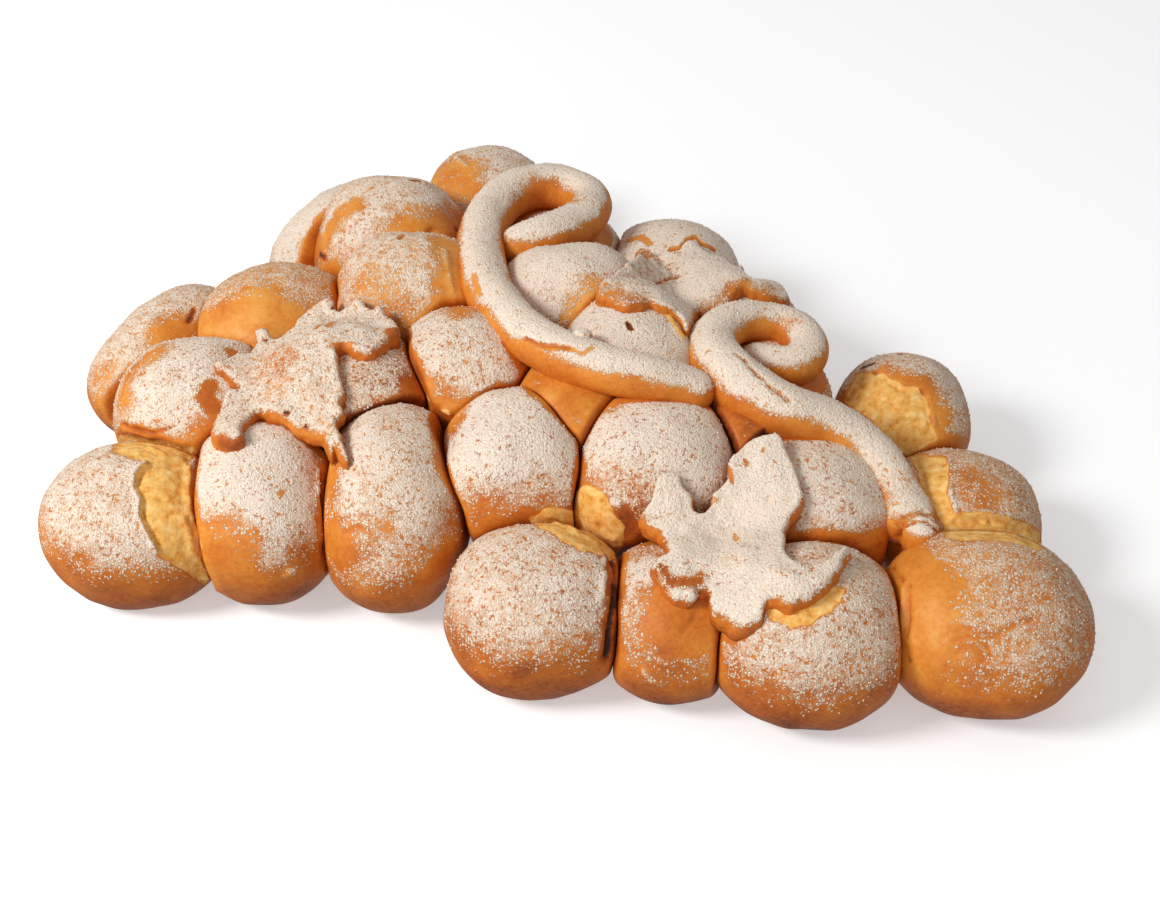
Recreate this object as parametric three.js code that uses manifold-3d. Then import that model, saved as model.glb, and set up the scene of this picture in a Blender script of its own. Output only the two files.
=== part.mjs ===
// A decorative loaf in the shape of a bunch of grapes. Balls of dough are heaped in a triangle and baked
// until they press flat against each other, two ropes of dough curl over the top as the vine, and three
// lobed leaves lie across the balls. Millimetres and degrees, +Z up. The narrow end of the bunch points
// to +Y, and the origin is on the table under the middle of the bunch.
import * as THREE from "three";
import { mergeVertices } from "three/addons/utils/BufferGeometryUtils.js";
import Module from "manifold-3d";

// ---------------------------------------------------------------- driving dimensions

const GAP = 0.3; // clear space between two pieces that touch
const REACH = 115; // no two rolls with centres further apart than this touch
const FOOT = 1.28; // depth of a roll's lower half against the height of its centre, so that it stands flat
const SPREAD = 0.25; // how much wider a squeezed roll is at the table than at its middle
const ROLL_SIDES = 14;
const DOME_ROWS = 5;
const FOOT_ROWS = 4;

// Rolls on the rim keep their round underside. Rolls inside the heap are squeezed: they widen downwards.
const RIM = 0;
const SQUEEZED = 1;
// How square a roll is from above: 2 is round, more is fuller at the corners.
const SQUARENESS = [2.2, 2.8];

// Each roll: centre [x, y, height of its middle], half [width, depth, height above the middle], kind,
// then the turn about Z and the lean about its own X where it has them.
const ROLLS = [
  // front row, from the left
  { centre: [-208, -99, 35], half: [48, 43, 38], kind: RIM },
  { centre: [-145, -94, 38], half: [42, 47, 44], kind: RIM, lean: 15 },
  { centre: [-79, -93, 40], half: [39, 54, 48], kind: RIM, lean: 18 },
  { centre: [-5, -155, 32], half: [46, 43, 39], kind: RIM },
  { centre: [59, -158, 28], half: [40, 42, 37], kind: RIM },
  { centre: [120, -171, 32], half: [48, 46, 43], kind: RIM },
  { centre: [205, -164, 33], half: [51, 47, 41], kind: RIM, turn: -8 },
  // second row
  { centre: [-186, -32, 50], half: [43, 42, 38], kind: RIM },
  { centre: [-104, -38, 60], half: [46, 40, 34], kind: SQUEEZED },
  { centre: [-45, -24, 66], half: [37, 40, 37], kind: SQUEEZED },
  { centre: [-17, -80, 54], half: [39, 42, 41], kind: SQUEEZED },
  { centre: [9, -58, 60], half: [34, 38, 34], kind: SQUEEZED },
  { centre: [51, -84, 56], half: [43, 42, 38], kind: SQUEEZED },
  { centre: [98, -68, 54], half: [31, 36, 34], kind: SQUEEZED },
  { centre: [124, -98, 48], half: [44, 43, 34], kind: SQUEEZED },
  { centre: [203, -98, 33], half: [43, 42, 33], kind: RIM },
  // third row
  { centre: [-215, 32, 35], half: [33, 56, 32], kind: RIM, turn: -30 },
  { centre: [-153, 30, 53], half: [43, 46, 36], kind: RIM, turn: -20 },
  { centre: [-78, 36, 66], half: [43, 42, 40], kind: SQUEEZED },
  { centre: [9, 31, 68], half: [42, 40, 36], kind: SQUEEZED },
  { centre: [40, -24, 72], half: [38, 42, 34], kind: SQUEEZED },
  { centre: [95, 38, 42], half: [44, 42, 34], kind: RIM },
  { centre: [113, -18, 44], half: [36, 38, 36], kind: RIM },
  { centre: [186, -23, 35], half: [36, 41, 35], kind: RIM },
  // narrow end
  { centre: [-123, 131, 36], half: [40, 56, 38], kind: RIM, turn: -38 },
  { centre: [-96, 106, 56], half: [44, 45, 41], kind: SQUEEZED },
  { centre: [-44, 176, 38], half: [39, 42, 36], kind: RIM },
  { centre: [-6, 104, 38], half: [50, 48, 37], kind: RIM },
  { centre: [67, 92, 42], half: [41, 44, 34], kind: RIM },
];

// Each vine is a rope of dough through [x, y, z, radius], from its tucked end to its far end.
const VINE_SIDES = 10;
const VINES = {
  vine_large: {
    steps: 38,
    through: [
      [-26, 58, 84, 10],
      [-20, 65, 86, 12],
      [-6, 72, 88, 12.5],
      [7, 83, 86, 12.5],
      [18, 100, 84, 12.5],
      [19, 118, 81, 12.5],
      [7, 133, 79, 13],
      [-10, 134, 80, 13.5],
      [-27, 121, 83, 13.5],
      [-38, 95, 85, 13.5],
      [-41, 60, 88, 13.5],
      [-36, 24, 91, 13.5],
      [-25, -7, 95, 13],
      [-9, -32, 98, 13],
      [9, -49, 100, 13],
      [29, -58, 100, 12.5],
      [49, -61, 97, 12],
      [66, -61, 91, 11.5],
      [80, -63, 85, 10],
    ],
  },
  vine_small: {
    steps: 32,
    through: [
      [102, -14, 74, 8.5],
      [112, -30, 80, 10.5],
      [124, -33, 82, 11],
      [132, -22, 82, 11],
      [130, -9, 82, 10.5],
      [121, 0, 82, 10.5],
      [107, 1, 84, 11],
      [92, -6, 87, 12],
      [82, -23, 88, 13.5],
      [85, -43, 89, 14.5],
      [98, -61, 88, 15],
      [115, -72, 85, 14],
      [136, -74, 78, 13],
      [155, -83, 70, 12],
      [166, -98, 63, 12],
      [170, -110, 58, 13],
      [173, -120, 54, 14.5],
      [175, -128, 50, 13.5],
    ],
  },
};

// Small balls of dough pressed on the vines: [x, y, z, radius].
const KNOBS = {
  vine_large: [[15, -43, 107, 6]],
  vine_small: [[177, -128, 56, 10]],
};

// Each leaf as seen from above: an outline of lobe tips and notches, clockwise round its middle.
const LEAF_THICK = 8.5;
const LEAF_RIM = 5; // thickness at the leaf's edge
const LEAF_SINK = 1.5; // how far the underside starts below the draped surface, before the rolls cut it
const LEAF_POINTS = 44;
const LEAF_RINGS = [0.35, 0.65, 0.88, 1];
const DRAPE_RADIUS = 16; // a leaf bridges hollows narrower than about this
const DRAPE_POWER = 6; // how strongly the high spots carry it
const LEAVES = {
  leaf_left: {
    middle: [-134, -30],
    outline: [
      [-99, -103],
      [-113, -87],
      [-133, -71],
      [-143, -60],
      [-150, -78],
      [-155, -94],
      [-160, -89],
      [-168, -66],
      [-163, -37],
      [-175, -27],
      [-170, -15],
      [-155, -7],
      [-142, -2],
      [-136, 8],
      [-124, 19],
      [-112, 17],
      [-93, 6],
      [-84, 0],
      [-74, -29],
      [-82, -40],
      [-106, -44],
      [-102, -57],
      [-104, -78],
    ],
  },
  leaf_front: {
    middle: [84, -150],
    outline: [
      [110, -88],
      [115, -94],
      [118, -108],
      [120, -119],
      [110, -136],
      [108, -148],
      [110, -154],
      [122, -160],
      [137, -165],
      [138, -172],
      [127, -183],
      [110, -188],
      [98, -179],
      [95, -188],
      [89, -191],
      [82, -187],
      [76, -179],
      [75, -168],
      [62, -177],
      [54, -175],
      [49, -163],
      [47, -154],
      [55, -149],
      [47, -140],
      [43, -130],
      [50, -117],
      [61, -114],
      [67, -118],
      [70, -123],
      [76, -118],
      [81, -110],
      [89, -96],
      [98, -90],
    ],
  },
  leaf_back: {
    middle: [68, 48],
    outline: [
      [18, 6],
      [28, 26],
      [36, 40],
      [38, 60],
      [40, 78],
      [50, 86],
      [60, 82],
      [70, 92],
      [80, 90],
      [88, 83],
      [98, 84],
      [108, 74],
      [116, 58],
      [129, 33],
      [120, 26],
      [110, 29],
      [104, 24],
      [88, 20],
      [80, 25],
      [74, 18],
      [62, 14],
      [48, 12],
      [34, 2],
      [24, 0],
    ],
  },
};

const CRUST = { color: 0xd9853b, roughness: 0.6, metalness: 0 };
const FLOURED = { color: 0xe2cbae, roughness: 0.95, metalness: 0 };

// ---------------------------------------------------------------- solids and meshes

const wasm = await Module();
wasm.setup();

// A closed geometry as a solid that can be joined and cut.
function solidOf(geometry) {
  const bare = geometry.clone();
  bare.deleteAttribute("normal");
  bare.deleteAttribute("uv");
  const merged = mergeVertices(bare, 1e-4);
  return new wasm.Manifold(
    new wasm.Mesh({
      numProp: 3,
      vertProperties: new Float32Array(merged.getAttribute("position").array),
      triVerts: new Uint32Array(merged.getIndex().array),
    }),
  );
}

// A solid as a named mesh.
function meshOf(name, solid, finish) {
  const { vertProperties, triVerts } = solid.getMesh();
  const geometry = new THREE.BufferGeometry();
  geometry.setAttribute("position", new THREE.BufferAttribute(vertProperties, 3));
  geometry.setIndex(new THREE.BufferAttribute(triVerts, 1));
  geometry.computeVertexNormals();
  const mesh = new THREE.Mesh(geometry, new THREE.MeshStandardMaterial(finish));
  mesh.name = name;
  return mesh;
}

// The largest body of a solid, without the crumbs that a cut can leave.
function mainBody(solid) {
  return solid.decompose().reduce((best, body) => (body.volume() > best.volume() ? body : best));
}

// ---------------------------------------------------------------- rolls

// Takes a ball of radius 1 to the roll's upper half, in place.
function placementOf({ centre, half, turn = 0, lean = 0 }) {
  const turned = new THREE.Euler(
    THREE.MathUtils.degToRad(lean),
    0,
    THREE.MathUtils.degToRad(turn),
    "ZYX",
  );
  return new THREE.Matrix4().compose(
    new THREE.Vector3(...centre),
    new THREE.Quaternion().setFromEuler(turned),
    new THREE.Vector3(...half),
  );
}

// The roll's side line from its foot to its top, for a roll of half width and half height 1.
function rollProfile({ centre, half, kind }) {
  const depth = (FOOT * centre[2]) / half[2];
  const flare = kind === SQUEEZED ? SPREAD / depth : 0;
  const lowest = Math.atan(flare); // the dome ends where its side is as steep as the flare below it
  const profile = [new THREE.Vector2(0, -depth)];
  if (kind === SQUEEZED) {
    for (let row = 0; row < FOOT_ROWS; row++) {
      const height = THREE.MathUtils.lerp(-depth, Math.sin(lowest), row / FOOT_ROWS);
      const reach = Math.cos(lowest) + flare * (Math.sin(lowest) - height);
      profile.push(new THREE.Vector2(reach, height));
    }
  } else {
    for (let row = 1; row < FOOT_ROWS; row++) {
      const angle = (Math.PI / 2) * (1 - row / FOOT_ROWS);
      profile.push(new THREE.Vector2(Math.cos(angle), -depth * Math.sin(angle)));
    }
  }
  for (let row = 0; row < DOME_ROWS; row++) {
    const angle = THREE.MathUtils.lerp(lowest, Math.PI / 2, row / DOME_ROWS);
    profile.push(new THREE.Vector2(Math.cos(angle), Math.sin(angle)));
  }
  profile.push(new THREE.Vector2(0, 1));
  return profile;
}

// Turns the round sections of a ball of radius 1 into rounded squares, which meet the same four sides.
function squareOff(ball, squareness) {
  const vertices = ball.getAttribute("position");
  for (let i = 0; i < vertices.count; i++) {
    const x = vertices.getX(i);
    const y = vertices.getY(i);
    const round = Math.hypot(x, y);
    if (round < 1e-6) continue;
    const square = (Math.abs(x) ** squareness + Math.abs(y) ** squareness) ** (1 / squareness);
    vertices.setXY(i, (x * round) / square, (y * round) / square);
  }
  return ball;
}

// How far the roll's ball reaches from its centre along a direction.
function reachAlong(roll, direction) {
  const toBall = new THREE.Matrix3().setFromMatrix4(placementOf(roll)).invert();
  return 1 / direction.clone().applyMatrix3(toBall).length();
}

// The flat face between a roll and its neighbour: its outward normal, and its distance from the origin
// along that normal. It stands where the two balls would cross.
function faceBetween(roll, other) {
  const centre = new THREE.Vector3(...roll.centre);
  const normal = new THREE.Vector3(...other.centre).sub(centre);
  const distance = normal.length();
  normal.normalize();
  const own = reachAlong(roll, normal);
  const theirs = reachAlong(other, normal);
  const out = (distance ** 2 + own ** 2 - theirs ** 2) / (2 * distance);
  return { normal, offset: normal.dot(centre) + out - GAP / 2 };
}

// One roll, grown on every side by `grow` so that it can cut a clear bed in what lies on it.
function rollSolid(roll, grow = 0) {
  const half = roll.half.map((size) => size + grow);
  const placement = placementOf({ ...roll, half });
  const ball = new THREE.LatheGeometry(rollProfile(roll), ROLL_SIDES);
  ball.rotateX(Math.PI / 2);
  squareOff(ball, SQUARENESS[roll.kind]);
  let solid = solidOf(ball.applyMatrix4(placement)).trimByPlane([0, 0, 1], 0);
  for (const other of ROLLS) {
    const apart = new THREE.Vector3(...other.centre).distanceTo(new THREE.Vector3(...roll.centre));
    if (other === roll || apart > REACH) continue;
    const { normal, offset } = faceBetween(roll, other);
    solid = solid.trimByPlane(normal.clone().negate().toArray(), -offset - grow);
  }
  return solid;
}

// ---------------------------------------------------------------- vines

// A rope of dough: a lathed bar with round ends, bent along the smooth curve through the vine's points.
function vineRope({ through, steps }, grow = 0) {
  const route = new THREE.CatmullRomCurve3(
    through.map(([x, y, z]) => new THREE.Vector3(x, y, z)),
    false,
    "centripetal",
  );
  const girth = new THREE.CatmullRomCurve3(
    through.map(([, , , radius], i) => new THREE.Vector3(i, radius, 0)),
  );
  const length = route.getLength();
  const frames = route.computeFrenetFrames(steps, false);
  const profile = [];
  for (let step = 0; step <= steps; step++) {
    const along = step / steps;
    const radius = girth.getPoint(route.getUtoTmapping(along)).y;
    // The last stretch at each end is rounded like a finger tip.
    const fromEnd = Math.min(along, 1 - along) * length;
    const tip = Math.sqrt(1 - Math.max(0, 1 - fromEnd / radius) ** 2);
    profile.push(new THREE.Vector2(tip * radius + (tip > 0 ? grow : 0), along));
  }
  const bar = new THREE.LatheGeometry(profile, VINE_SIDES);
  const vertices = bar.getAttribute("position");
  const vertex = new THREE.Vector3();
  for (let i = 0; i < vertices.count; i++) {
    vertex.fromBufferAttribute(vertices, i);
    const step = Math.round(vertex.y * steps);
    const point = route
      .getPointAt(step / steps)
      .addScaledVector(frames.normals[step], vertex.z)
      .addScaledVector(frames.binormals[step], vertex.x);
    vertices.setXYZ(i, point.x, point.y, point.z);
  }
  return solidOf(bar);
}

// A rope with the small balls of dough pressed on it.
function vineSolid(name, grow = 0) {
  let solid = vineRope(VINES[name], grow);
  for (const [x, y, z, radius] of KNOBS[name]) {
    const knob = new THREE.IcosahedronGeometry(radius + grow, 2).translate(x, y, z);
    solid = solid.add(solidOf(knob));
  }
  return solid;
}

// ---------------------------------------------------------------- leaves

const intoBalls = ROLLS.map((roll) => placementOf(roll).invert());

// The height of the heap's domes above a point of the table. The section of a roll that leans moves as it
// rises, so its height is found in a few rounds.
function heapHeight(x, y) {
  let highest = 0;
  ROLLS.forEach((roll, i) => {
    const squareness = SQUARENESS[roll.kind];
    const level = new THREE.Vector3(x, y, 0).applyMatrix4(intoBalls[i]);
    const rise = new THREE.Vector3().setFromMatrixColumn(intoBalls[i], 2);
    let height = roll.centre[2];
    let across = 1;
    for (let round = 0; round < 3; round++) {
      const at = rise.clone().multiplyScalar(height).add(level);
      across = (Math.abs(at.x) ** squareness + Math.abs(at.y) ** squareness) ** (1 / squareness);
      if (across < 1) height = (Math.sqrt(1 - across ** 2) - level.z) / rise.z;
    }
    if (across < 1) highest = Math.max(highest, height);
  });
  return highest;
}

// The height at which a soft sheet lies over the heap: a mean over a disc that favours the high spots.
function drapedHeight(x, y) {
  let sum = heapHeight(x, y) ** DRAPE_POWER;
  let count = 1;
  for (const [radius, places] of [
    [DRAPE_RADIUS / 2, 6],
    [DRAPE_RADIUS, 12],
  ]) {
    for (let place = 0; place < places; place++) {
      const angle = (2 * Math.PI * place) / places;
      sum += heapHeight(x + radius * Math.cos(angle), y + radius * Math.sin(angle)) ** DRAPE_POWER;
      count++;
    }
  }
  return (sum / count) ** (1 / DRAPE_POWER);
}

// A leaf: rings of points from its middle to its outline, draped over the heap, with the same triangles
// in both faces and a strip round the edge.
function leafSolid({ middle, outline }) {
  const edge = new THREE.CatmullRomCurve3(
    outline.map(([x, y]) => new THREE.Vector3(x, y, 0)),
    true,
    "centripetal",
  ).getSpacedPoints(LEAF_POINTS);
  const upper = [];
  const lower = [];
  const addPoint = (x, y, thick) => {
    const height = drapedHeight(x, y);
    upper.push(x, y, height + thick);
    lower.push(x, y, height - LEAF_SINK);
  };
  addPoint(middle[0], middle[1], LEAF_THICK);
  for (const ring of LEAF_RINGS) {
    for (let i = 0; i < LEAF_POINTS; i++) {
      const x = THREE.MathUtils.lerp(middle[0], edge[i].x, ring);
      const y = THREE.MathUtils.lerp(middle[1], edge[i].y, ring);
      addPoint(x, y, ring < 1 ? LEAF_THICK : LEAF_RIM);
    }
  }
  const at = (ring, i) => 1 + ring * LEAF_POINTS + (i % LEAF_POINTS);
  const face = [];
  for (let i = 0; i < LEAF_POINTS; i++) {
    face.push([0, at(0, i + 1), at(0, i)]);
    for (let ring = 1; ring < LEAF_RINGS.length; ring++) {
      face.push([at(ring - 1, i), at(ring - 1, i + 1), at(ring, i)]);
      face.push([at(ring - 1, i + 1), at(ring, i + 1), at(ring, i)]);
    }
  }
  const below = upper.length / 3;
  const last = LEAF_RINGS.length - 1;
  const index = [];
  for (const [a, b, c] of face) {
    index.push(a, b, c);
    index.push(below + a, below + c, below + b);
  }
  for (let i = 0; i < LEAF_POINTS; i++) {
    index.push(at(last, i), at(last, i + 1), below + at(last, i));
    index.push(at(last, i + 1), below + at(last, i + 1), below + at(last, i));
  }
  const geometry = new THREE.BufferGeometry();
  geometry.setAttribute("position", new THREE.Float32BufferAttribute([...upper, ...lower], 3));
  geometry.setIndex(index);
  return solidOf(geometry);
}

// ---------------------------------------------------------------- the bunch

const bunch = new THREE.Group();

ROLLS.forEach((roll, i) => {
  bunch.add(meshOf(`roll_${String(i + 1).padStart(2, "0")}`, rollSolid(roll), CRUST));
});

// The bed that the heap presses into whatever lies on it.
const bed = ROLLS.map((roll) => rollSolid(roll, GAP)).reduce((all, roll) => all.add(roll));

const smallVine = vineSolid("vine_small").subtract(bed);
const largeVine = vineSolid("vine_large").subtract(bed).subtract(vineSolid("vine_small", GAP));
bunch.add(meshOf("vine_small", mainBody(smallVine), FLOURED));
bunch.add(meshOf("vine_large", mainBody(largeVine), FLOURED));

const vineBed = vineSolid("vine_small", GAP).add(vineSolid("vine_large", GAP));
for (const [name, leaf] of Object.entries(LEAVES)) {
  const solid = leafSolid(leaf).subtract(bed).subtract(vineBed);
  bunch.add(meshOf(name, mainBody(solid), FLOURED));
}

export default bunch;
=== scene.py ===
import functools
import itertools
import math

import bmesh
import bpy
import numpy as np
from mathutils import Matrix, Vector
from mathutils.bvhtree import BVHTree
from mathutils.geometry import delaunay_2d_cdt


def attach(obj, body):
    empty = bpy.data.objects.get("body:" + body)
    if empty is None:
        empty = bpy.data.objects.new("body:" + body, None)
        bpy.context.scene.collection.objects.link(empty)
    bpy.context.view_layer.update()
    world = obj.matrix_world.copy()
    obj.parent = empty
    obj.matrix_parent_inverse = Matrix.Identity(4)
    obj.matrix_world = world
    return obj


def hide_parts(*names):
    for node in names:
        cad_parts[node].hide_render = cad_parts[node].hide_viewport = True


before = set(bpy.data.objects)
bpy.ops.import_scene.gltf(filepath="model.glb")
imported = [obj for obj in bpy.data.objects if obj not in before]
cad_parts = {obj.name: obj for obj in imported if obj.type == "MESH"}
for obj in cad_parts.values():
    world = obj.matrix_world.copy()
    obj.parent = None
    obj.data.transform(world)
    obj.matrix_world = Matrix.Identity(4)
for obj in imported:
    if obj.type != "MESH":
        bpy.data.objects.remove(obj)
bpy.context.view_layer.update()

# A decorative loaf in the shape of a bunch of grapes, dusted with coarse flour. Rolls of dough pressed
# together, two ropes as the vine and three lobed leaves. Sizes here are in millimetres, in the same frame
# as the CAD; the meshes are made in metres. The narrow end of the bunch points to +Y.
MM = 0.001

# ---------------------------------------------------------------- the bunch, as in the CAD

FOOT = 1.28  # depth of a roll's lower half against the height of its centre
SPREAD = 0.25  # how much wider a squeezed roll is at the table than at its middle
GAP = 0.3  # clear space between two rolls
REACH = 115  # no two rolls with centres further apart than this touch
RIM = 0
SQUEEZED = 1
SQUARENESS = {RIM: 2.2, SQUEEZED: 2.8}  # 2 is round from above, more is fuller at the corners

# Each roll: centre, half sizes, kind, turn, lean, then how thickly it is floured and how well it is baked.
ROLLS = [
    ((-208, -99, 35), (48, 43, 38), RIM, 0, 0, 0.95, 0.5),
    ((-145, -94, 38), (42, 47, 44), RIM, 0, 15, 1.15, 0.53),
    ((-79, -93, 40), (39, 54, 48), RIM, 0, 18, 1.0, 0.5),
    ((-5, -155, 32), (46, 43, 39), RIM, 0, 0, 0.92, 0.58),
    ((59, -158, 28), (40, 42, 37), RIM, 0, 0, 0.62, 0.52),
    ((120, -171, 32), (48, 46, 43), RIM, 0, 0, 0.9, 0.56),
    ((205, -164, 33), (51, 47, 41), RIM, -8, 0, 0.66, 0.5),
    ((-186, -32, 50), (43, 42, 38), RIM, 0, 0, 1.1, 0.46),
    ((-104, -38, 60), (46, 40, 34), SQUEEZED, 0, 0, 0.8, 0.72),
    ((-45, -24, 66), (37, 40, 37), SQUEEZED, 0, 0, 1.0, 0.5),
    ((-17, -80, 54), (39, 42, 41), SQUEEZED, 0, 0, 1.2, 0.58),
    ((9, -58, 60), (34, 38, 34), SQUEEZED, 0, 0, 0.2, 0.5),
    ((51, -84, 56), (43, 42, 38), SQUEEZED, 0, 0, 1.15, 0.6),
    ((98, -68, 54), (31, 36, 34), SQUEEZED, 0, 0, 0.1, 0.74),
    ((124, -98, 48), (44, 43, 34), SQUEEZED, 0, 0, 1.05, 0.62),
    ((203, -98, 33), (43, 42, 33), RIM, 0, 0, 0.72, 0.5),
    ((-215, 32, 35), (33, 56, 32), RIM, -30, 0, 0.9, 0.44),
    ((-153, 30, 53), (43, 46, 36), RIM, -20, 0, 0.66, 0.44),
    ((-78, 36, 66), (43, 42, 40), SQUEEZED, 0, 0, 0.85, 0.42),
    ((9, 31, 68), (42, 40, 36), SQUEEZED, 0, 0, 1.3, 0.44),
    ((40, -24, 72), (38, 42, 34), SQUEEZED, 0, 0, 1.25, 0.44),
    ((95, 38, 42), (44, 42, 34), RIM, 0, 0, 1.0, 0.5),
    ((113, -18, 44), (36, 38, 36), RIM, 0, 0, 1.0, 0.54),
    ((186, -23, 35), (36, 41, 35), RIM, 0, 0, 0.9, 0.54),
    ((-123, 131, 36), (40, 56, 38), RIM, -38, 0, 1.3, 0.4),
    ((-96, 106, 56), (44, 45, 41), SQUEEZED, 0, 0, 0.95, 0.44),
    ((-44, 176, 38), (39, 42, 36), RIM, 0, 0, 1.0, 0.42),
    ((-6, 104, 38), (50, 48, 37), RIM, 0, 0, 1.1, 0.48),
    ((67, 92, 42), (41, 44, 34), RIM, 0, 0, 1.2, 0.46),
]

# Each vine runs through [x, y, z, radius], from its tucked end to its far end.
VINES = {
    "vine_large": [
        (-26, 58, 84, 10), (-20, 65, 86, 12), (-6, 72, 88, 12.5), (7, 83, 86, 12.5), (18, 100, 84, 12.5),
        (19, 118, 81, 12.5), (7, 133, 79, 13), (-10, 134, 80, 13.5), (-27, 121, 83, 13.5),
        (-38, 95, 85, 13.5), (-41, 60, 88, 13.5), (-36, 24, 91, 13.5), (-25, -7, 95, 13),
        (-9, -32, 98, 13), (9, -49, 100, 13), (29, -58, 100, 12.5), (49, -61, 97, 12),
        (66, -61, 91, 11.5), (80, -63, 85, 10),
    ],
    "vine_small": [
        (102, -14, 74, 8.5), (112, -30, 80, 10.5), (124, -33, 82, 11), (132, -22, 82, 11),
        (130, -9, 82, 10.5), (121, 0, 82, 10.5), (107, 1, 84, 11), (92, -6, 87, 12), (82, -23, 88, 13.5),
        (85, -43, 89, 14.5), (98, -61, 88, 15), (115, -72, 85, 14), (136, -74, 78, 13), (155, -83, 70, 12),
        (166, -98, 63, 12), (170, -110, 58, 13), (173, -120, 54, 14.5), (175, -128, 50, 13.5),
    ],
}
# The ball of dough pressed on each vine: its centre and radius.
KNOBS = {
    "vine_large": ((15, -43, 107), 6),
    "vine_small": ((177, -128, 56), 10),
}

LEAF_THICK = 8.5
LEAF_SINK = 1.5
DRAPE_RADIUS = 16
DRAPE_POWER = 6
# Each leaf: how thickly it is floured, the lowest its edge lies, and the edge of its upper side as the
# front view shows it, in pixels of the picture.
LEAVES = {
    "leaf_left": (
        1.0,
        62,
        [
            (336, 347), (346, 343), (357, 349), (370, 350), (381, 343), (391, 335), (399, 329), (394, 319),
            (385, 313), (380, 307), (371, 306), (362, 302), (355, 300), (347, 306), (339, 311), (334, 306),
            (329, 299), (319, 300), (308, 307), (298, 317), (288, 329), (275, 337), (266, 328), (257, 332),
            (257, 342), (248, 350), (236, 351), (225, 356), (214, 362), (224, 370), (233, 379), (241, 386),
            (231, 388), (223, 394), (221, 408), (213, 422), (211, 433), (220, 440), (233, 441), (241, 437),
            (241, 426), (250, 415), (259, 408), (270, 412), (284, 414), (296, 425), (310, 430), (321, 432),
            (326, 444), (330, 451), (334, 444), (340, 452), (347, 459), (343, 443), (338, 428), (337, 415),
            (343, 407), (338, 398), (343, 388), (340, 372), (338, 358),
        ],
    ),
    "leaf_front": (
        1.45,
        44,
        [
            (776, 431), (784, 440), (789, 453), (795, 466), (800, 480), (803, 494), (797, 507), (789, 519),
            (785, 533), (786, 547), (794, 557), (807, 561), (822, 560), (834, 553), (845, 547), (851, 550),
            (843, 560), (837, 572), (827, 583), (814, 593), (800, 600), (786, 602), (774, 596), (766, 598),
            (763, 608), (757, 618), (747, 625), (735, 627), (725, 620), (714, 612), (711, 600), (710, 588),
            (700, 590), (688, 598), (676, 598), (666, 588), (658, 577), (652, 566), (656, 557), (667, 549),
            (664, 537), (654, 528), (643, 521), (640, 512), (647, 504), (652, 495), (654, 483), (660, 473),
            (669, 469), (679, 472), (685, 484), (692, 493), (694, 506), (703, 511), (711, 504), (714, 490),
            (724, 483), (729, 470), (730, 455), (741, 444), (757, 435), (769, 434),
        ],
    ),
    "leaf_back": (
        1.35,
        66,
        [
            (598, 296), (600, 284), (612, 274), (622, 264), (634, 258), (640, 248), (650, 250), (664, 252),
            (680, 247), (686, 239), (694, 238), (703, 247), (715, 252), (726, 256), (735, 264), (742, 262),
            (745, 270), (752, 276), (766, 277), (778, 281), (787, 290), (789, 298), (780, 298), (768, 296),
            (755, 290), (743, 286), (736, 292), (728, 301), (722, 309), (716, 316), (711, 309), (706, 318),
            (700, 310), (692, 317), (687, 326), (680, 315), (671, 308), (660, 303), (650, 299), (641, 302),
            (628, 304), (612, 299),
        ],
    ),
}

# ---------------------------------------------------------------- camera

PHOTO_WIDTH = 1160
PHOTO_HEIGHT = 920
LENS = 50
SENSOR = 36
CAMERA_AT = np.array([14.0, -669.7, 609.7])
CAMERA_TO = np.array([14.0, -48.0, 30.0])


def make_camera():
    data = bpy.data.cameras.new("camera")
    data.lens = LENS
    data.sensor_width = SENSOR
    data.clip_start = 0.01
    data.clip_end = 20
    camera = bpy.data.objects.new("camera", data)
    camera.location = CAMERA_AT * MM
    camera.rotation_mode = "QUATERNION"
    camera.rotation_quaternion = Vector(CAMERA_TO - CAMERA_AT).to_track_quat("-Z", "Y")
    bpy.context.collection.objects.link(camera)
    bpy.context.scene.camera = camera


AHEAD = (CAMERA_TO - CAMERA_AT) / np.linalg.norm(CAMERA_TO - CAMERA_AT)
RIGHT = np.array([1.0, 0.0, 0.0])
UP = np.cross(RIGHT, AHEAD)
FOCUS = LENS / SENSOR * PHOTO_WIDTH  # the lens, in pixels
PIXEL = np.linalg.norm(CAMERA_TO - CAMERA_AT) / FOCUS  # what a pixel spans in the middle of the bunch


def sight_line(column, row):
    """The direction in which the camera sees a pixel of its picture."""
    line = AHEAD * FOCUS + RIGHT * (column - PHOTO_WIDTH / 2) - UP * (row - PHOTO_HEIGHT / 2)
    return line / np.linalg.norm(line)


def in_picture(points):
    """The column and row of the picture in which the camera sees each point."""
    way = points - CAMERA_AT
    scale = FOCUS / (way @ AHEAD)
    return np.stack([PHOTO_WIDTH / 2 + scale * (way @ RIGHT), PHOTO_HEIGHT / 2 - scale * (way @ UP)], axis=1)


# ---------------------------------------------------------------- noise and curves

LATTICE_SIZE = 64
LATTICE = np.random.default_rng(11).uniform(-1, 1, (LATTICE_SIZE,) * 3)


def noise(points, size, shift=0.0):
    """Smooth noise from -1 to 1, with features about `size` across."""
    place = points / size + shift
    cell = np.floor(place).astype(int)
    part = place - cell
    part = part * part * (3 - 2 * part)
    total = np.zeros(len(points))
    for corner in itertools.product((0, 1), repeat=3):
        weight = np.prod(np.where(corner, part, 1 - part), axis=1)
        x, y, z = ((cell + corner) % LATTICE_SIZE).T
        total += weight * LATTICE[x, y, z]
    return total


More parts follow.
